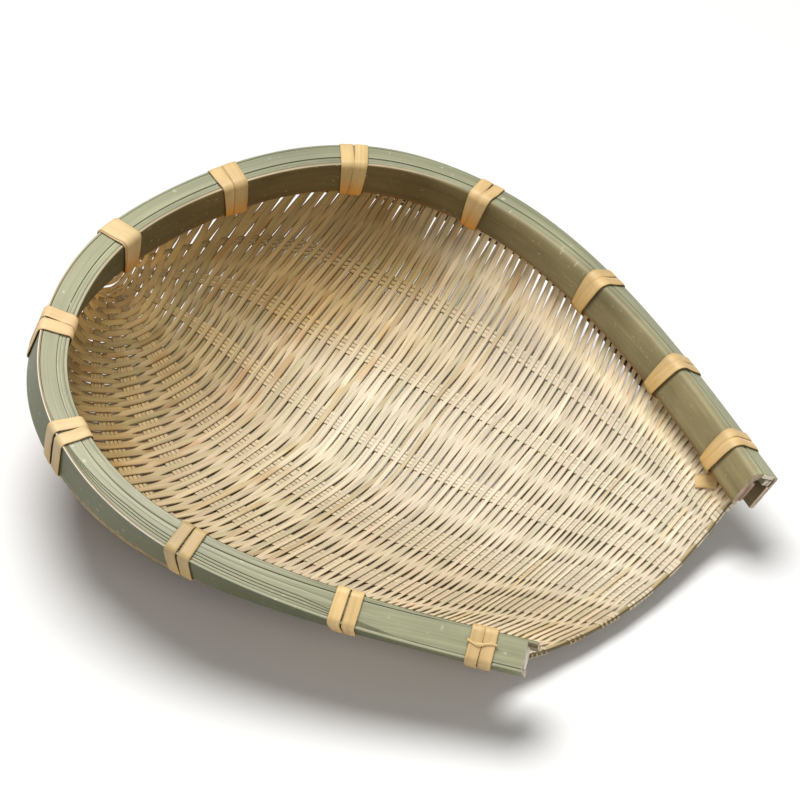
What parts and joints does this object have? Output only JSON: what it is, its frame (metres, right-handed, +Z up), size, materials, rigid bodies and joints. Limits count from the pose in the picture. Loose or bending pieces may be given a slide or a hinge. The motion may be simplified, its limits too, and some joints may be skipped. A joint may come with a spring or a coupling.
{
  "type": "bamboo draining basket",
  "caption": "Shallow woven bamboo scoop basket with an open mouth and a horseshoe rim of split bamboo strips bound at intervals, for rinsing, draining and serving food.",
  "frame": {"origin": "middle of the basket's footprint, on the plane that its bottom rests on", "axes": "+Z up, out of the bowl; -Y toward the open mouth, +Y toward the high closed back; +X across the basket"},
  "size_m": [0.2768, 0.31, 0.088],
  "materials": {
    "rim_green": "smooth green bamboo skin, satin, with a pale split edge",
    "rim_inner": "smooth olive bamboo skin with fine specks, satin",
    "rim_core": "raw split bamboo, matt, fibrous",
    "binding_strip": "flat ochre binding strip, fine lengthwise fibre, satin",
    "weft_strand": "split bamboo strand, straw to cream, satin, fibre along the length",
    "warp_strip": "split bamboo strip, straw, satin, fibre along the length"
  },
  "bodies": {
    "root": {"outer_hoop": "rim_green", "inner_hoop": "rim_inner", "rim_filler_1": "rim_green", "rim_filler_2": "rim_green", "rim_filler_3": "rim_green", "rim_filler_4": "rim_green", "rim_packing": "rim_core", "binding_01": "binding_strip", "binding_02": "binding_strip", "binding_03": "binding_strip", "binding_04": "binding_strip", "binding_05": "binding_strip", "binding_06": "binding_strip", "binding_07": "binding_strip", "binding_08": "binding_strip", "binding_09": "binding_strip", "binding_10": "binding_strip", "binding_11": "binding_strip", "binding_12": "binding_strip", "weft_band_01": "weft_strand", "weft_band_02": "weft_strand", "weft_band_03": "weft_strand", "weft_band_04": "weft_strand", "weft_band_05": "weft_strand", "weft_band_06": "weft_strand", "weft_band_07": "weft_strand", "weft_band_08": "weft_strand", "weft_band_09": "weft_strand", "weft_band_10": "weft_strand", "weft_band_11": "weft_strand", "weft_band_12": "weft_strand", "weft_band_13": "weft_strand", "weft_band_14": "weft_strand", "weft_band_15": "weft_strand", "weft_band_16": "weft_strand", "weft_band_17": "weft_strand", "weft_band_18": "weft_strand", "weft_band_19": "weft_strand", "weft_band_20": "weft_strand", "warp_1": "warp_strip", "warp_2": "warp_strip", "warp_3": "warp_strip", "warp_4": "warp_strip", "warp_5": "warp_strip", "warp_6": "warp_strip", "warp_7": "warp_strip", "warp_8": "warp_strip"}
  },
  "joints": []
}
